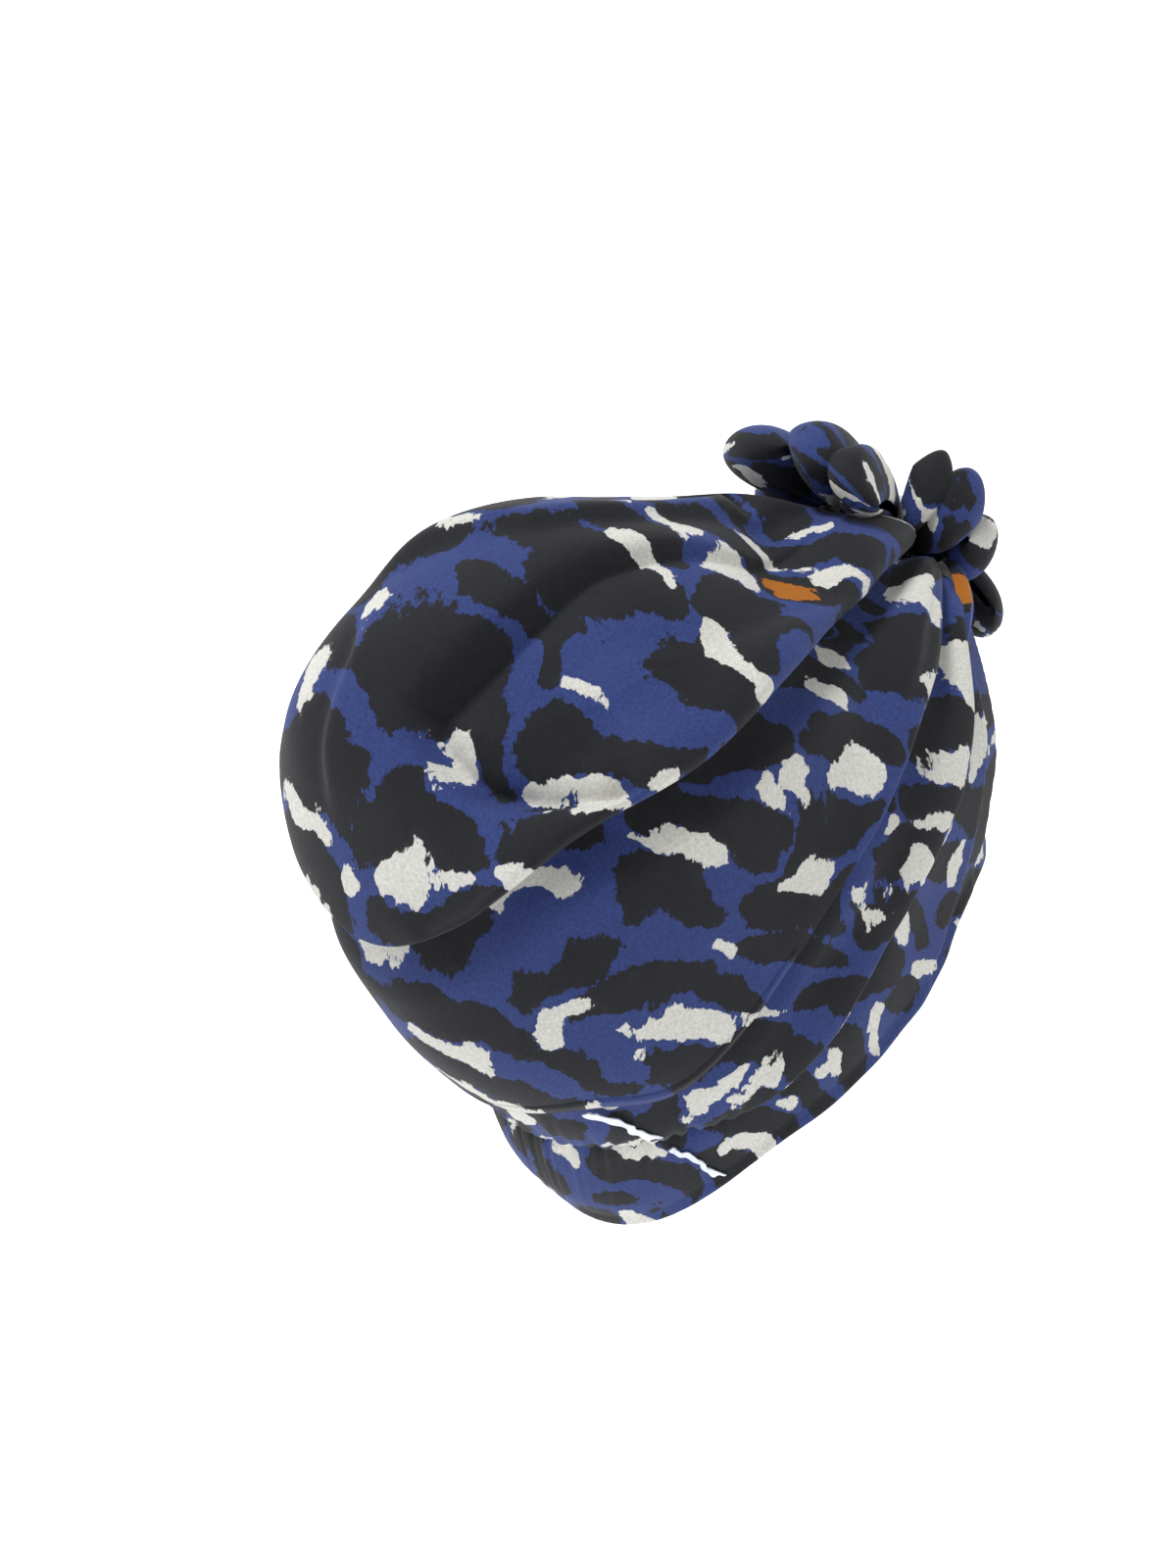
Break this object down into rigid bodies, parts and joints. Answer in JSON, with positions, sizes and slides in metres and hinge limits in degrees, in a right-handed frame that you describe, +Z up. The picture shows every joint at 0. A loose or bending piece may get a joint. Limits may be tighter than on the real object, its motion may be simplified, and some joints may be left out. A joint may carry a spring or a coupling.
{
  "type": "turban headwrap",
  "caption": "Ready-tied turban of printed crepe: a close cap of folded bands with a pouch at the back and a bow-like rosette knotted at the top of the forehead.",
  "frame": {"origin": "middle of the hollow at brow height, where a head fills the cap", "axes": "+Z up, +X towards the wearer's left, -Y towards the face, +Y towards the pouch at the back"},
  "size_m": [0.1633, 0.2577, 0.2571],
  "materials": {
    "printed_crepe": "matt pebbled crepe, printed with dark and pale animal markings on blue",
    "white_selvedge": "matt unprinted cloth edge"
  },
  "bodies": {
    "root": {"brow_band": "printed_crepe", "pleat_band": "printed_crepe", "side_wrap": "printed_crepe", "crown": "printed_crepe", "selvedge_casing": "white_selvedge", "selvedge_hem": "white_selvedge", "rosette_left": "printed_crepe", "rosette_back_left": "printed_crepe", "rosette_back": "printed_crepe", "rosette_right": "printed_crepe", "rosette_right_front": "printed_crepe", "rosette_front_right": "printed_crepe", "rosette_front": "printed_crepe", "rosette_front_left": "printed_crepe", "knot_wrap": "printed_crepe", "knot_strap": "printed_crepe"}
  },
  "joints": []
}
